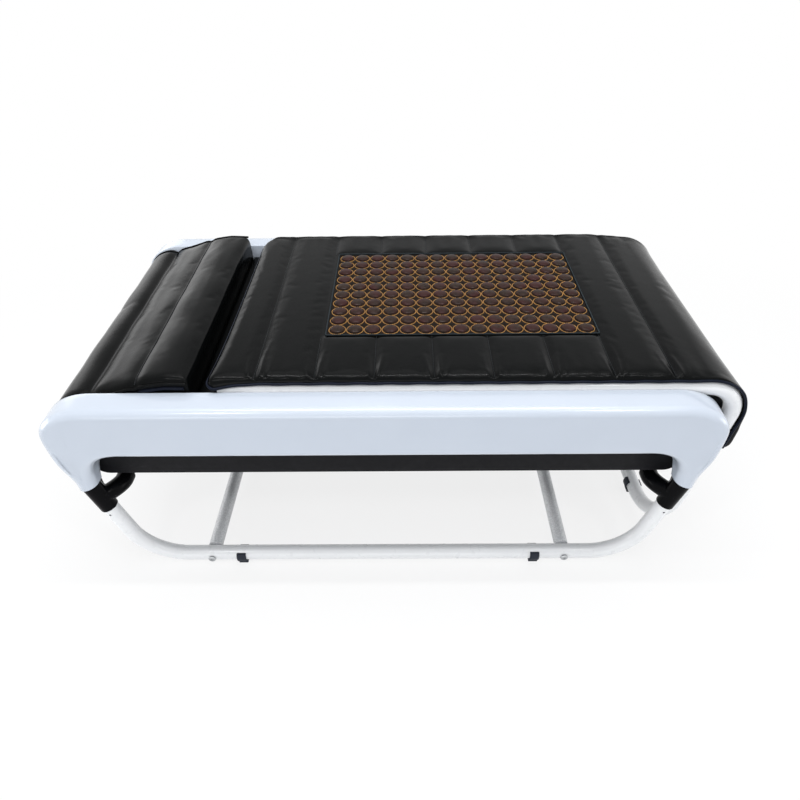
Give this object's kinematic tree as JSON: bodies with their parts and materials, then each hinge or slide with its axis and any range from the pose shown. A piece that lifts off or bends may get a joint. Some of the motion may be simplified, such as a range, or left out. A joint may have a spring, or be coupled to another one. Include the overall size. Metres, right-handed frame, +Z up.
{
  "type": "thermal massage bed",
  "caption": "Compact thermal massage bed, closed, with a sliding leg section, a stone mat and a roller carriage inside.",
  "frame": {"origin": "on the floor, under the middle of the whole bed", "axes": "+X towards the foot end, along the bed, +Y towards the rear side, +Z up"},
  "size_m": [1.2936, 0.7, 0.4921],
  "materials": {
    "gloss_white": "gloss",
    "tube_white": "gloss paint",
    "hammered_grey": "hammered paint",
    "gloss_black": "gloss",
    "satin_black": "satin",
    "leather_black": "soft sheen",
    "fabric_black": "woven",
    "stone_fabric": "woven, with polished stones",
    "rubber_dark": "matt",
    "steel": "brushed",
    "board": "plain board",
    "black_board": "black laminate",
    "jade": "polished",
    "grey_plastic": "moulded"
  },
  "bodies": {
    "bed": {"front_base_rail": "tube_white", "front_side_cover": "gloss_white", "front_side_beam": "steel", "front_carriage_rail": "steel", "front_guide_block": "grey_plastic", "front_head_foot_pad": "rubber_dark", "front_head_bolt": "steel", "front_head_leg_joint": "gloss_black", "front_foot_foot_pad": "rubber_dark", "front_foot_bolt": "steel", "front_foot_leg_joint": "gloss_black", "rear_base_rail": "tube_white", "rear_side_cover": "gloss_white", "rear_side_beam": "steel", "rear_carriage_rail": "steel", "rear_guide_block": "grey_plastic", "rear_head_foot_pad": "rubber_dark", "rear_head_bolt": "steel", "rear_head_leg_joint": "gloss_black", "rear_foot_foot_pad": "rubber_dark", "rear_foot_bolt": "steel", "rear_foot_leg_joint": "gloss_black", "head_cross_bar": "hammered_grey", "head_stretcher_tube": "tube_white", "head_end_panel": "satin_black", "foot_cross_bar": "hammered_grey", "foot_stretcher_tube": "tube_white", "foot_end_panel": "satin_black", "lower_housing": "satin_black", "deck_board": "board", "main_mat": "leather_black", "roller_slot_cover": "fabric_black", "head_mat": "leather_black", "drive_motor": "steel", "idler_bracket": "steel", "drive_belt": "rubber_dark", "control_box": "satin_black", "power_inlet": "satin_black"},
    "leg_section": {"leg_frame": "tube_white", "leg_deck": "black_board", "leg_mat": "leather_black", "stone_panel": "stone_fabric", "front_slide_glide": "satin_black", "rear_slide_glide": "satin_black", "front_leg_section_foot": "rubber_dark", "rear_leg_section_foot": "rubber_dark"},
    "carriage": {"carriage_plate": "steel", "lift_motor": "satin_black"},
    "cradle": {"roller_cradle": "steel"},
    "head_rollers": {"head_jade_rollers": "jade"},
    "foot_rollers": {"foot_jade_rollers": "jade"},
    "head_wheels": {"head_carriage_wheels": "grey_plastic"},
    "foot_wheels": {"foot_carriage_wheels": "grey_plastic"},
    "front_inner_guide": {"front_inner_guide_wheel": "grey_plastic"},
    "front_outer_guide": {"front_outer_guide_wheel": "grey_plastic"},
    "rear_inner_guide": {"rear_inner_guide_wheel": "grey_plastic"},
    "rear_outer_guide": {"rear_outer_guide_wheel": "grey_plastic"},
    "drive_pulley_wheel": {"drive_pulley": "grey_plastic"},
    "idler_pulley_wheel": {"idler_pulley": "grey_plastic"},
    "rocker": {"power_switch": "gloss_black"}
  },
  "joints": [
    {"name": "leg_slide", "type": "slide", "parent": "bed", "child": "leg_section", "axis": [1, 0, 0], "range_m": [0, 0.62]},
    {"name": "carriage_travel", "type": "slide", "parent": "bed", "child": "carriage", "axis": [1, 0, 0], "range_m": [0, 0.6]},
    {"name": "cradle_lift", "type": "slide", "parent": "carriage", "child": "cradle", "axis": [0, 0, 1], "range_m": [0, 0.034]},
    {"name": "head_roller_spin", "type": "hinge", "parent": "cradle", "child": "head_rollers", "pos_m": [-0.28577, 0, 0.37], "axis": [0, 1, 0], "continuous": true},
    {"name": "foot_roller_spin", "type": "hinge", "parent": "cradle", "child": "foot_rollers", "pos_m": [-0.19577, 0, 0.37], "axis": [0, 1, 0], "continuous": true},
    {"name": "head_wheel_spin", "type": "hinge", "parent": "carriage", "child": "head_wheels", "pos_m": [-0.30577, 0, 0.2928], "axis": [0, 1, 0], "continuous": true},
    {"name": "foot_wheel_spin", "type": "hinge", "parent": "carriage", "child": "foot_wheels", "pos_m": [-0.17577, 0, 0.2928], "axis": [0, 1, 0], "continuous": true},
    {"name": "front_inner_guide_spin", "type": "hinge", "parent": "bed", "child": "front_inner_guide", "pos_m": [0.34323, -0.275, 0.4267], "axis": [0, 1, 0], "continuous": true},
    {"name": "front_outer_guide_spin", "type": "hinge", "parent": "bed", "child": "front_outer_guide", "pos_m": [0.47323, -0.275, 0.4267], "axis": [0, 1, 0], "continuous": true},
    {"name": "rear_inner_guide_spin", "type": "hinge", "parent": "bed", "child": "rear_inner_guide", "pos_m": [0.34323, 0.275, 0.4267], "axis": [0, 1, 0], "continuous": true},
    {"name": "rear_outer_guide_spin", "type": "hinge", "parent": "bed", "child": "rear_outer_guide", "pos_m": [0.47323, 0.275, 0.4267], "axis": [0, 1, 0], "continuous": true},
    {"name": "drive_pulley_spin", "type": "hinge", "parent": "bed", "child": "drive_pulley_wheel", "pos_m": [-0.50877, 0.205, 0.2855], "axis": [0, 1, 0], "continuous": true},
    {"name": "idler_pulley_spin", "type": "hinge", "parent": "bed", "child": "idler_pulley_wheel", "pos_m": [0.45123, 0.205, 0.2855], "axis": [0, 1, 0], "continuous": true},
    {"name": "switch_rock", "type": "hinge", "parent": "bed", "child": "rocker", "pos_m": [-0.60697, 0.167, 0.318], "axis": [0, 1, 0], "range_deg": [0, 14]}
  ],
  "couplings": [
    {"joint": "head_wheel_spin", "follows": "carriage_travel", "rad_per_m": 66.667},
    {"joint": "foot_wheel_spin", "follows": "carriage_travel", "rad_per_m": 66.667},
    {"joint": "front_inner_guide_spin", "follows": "leg_slide", "rad_per_m": 83.333},
    {"joint": "front_outer_guide_spin", "follows": "leg_slide", "rad_per_m": 83.333},
    {"joint": "rear_inner_guide_spin", "follows": "leg_slide", "rad_per_m": 83.333},
    {"joint": "rear_outer_guide_spin", "follows": "leg_slide", "rad_per_m": 83.333},
    {"joint": "drive_pulley_spin", "follows": "carriage_travel", "rad_per_m": 65.359},
    {"joint": "idler_pulley_spin", "follows": "carriage_travel", "rad_per_m": 65.359}
  ]
}
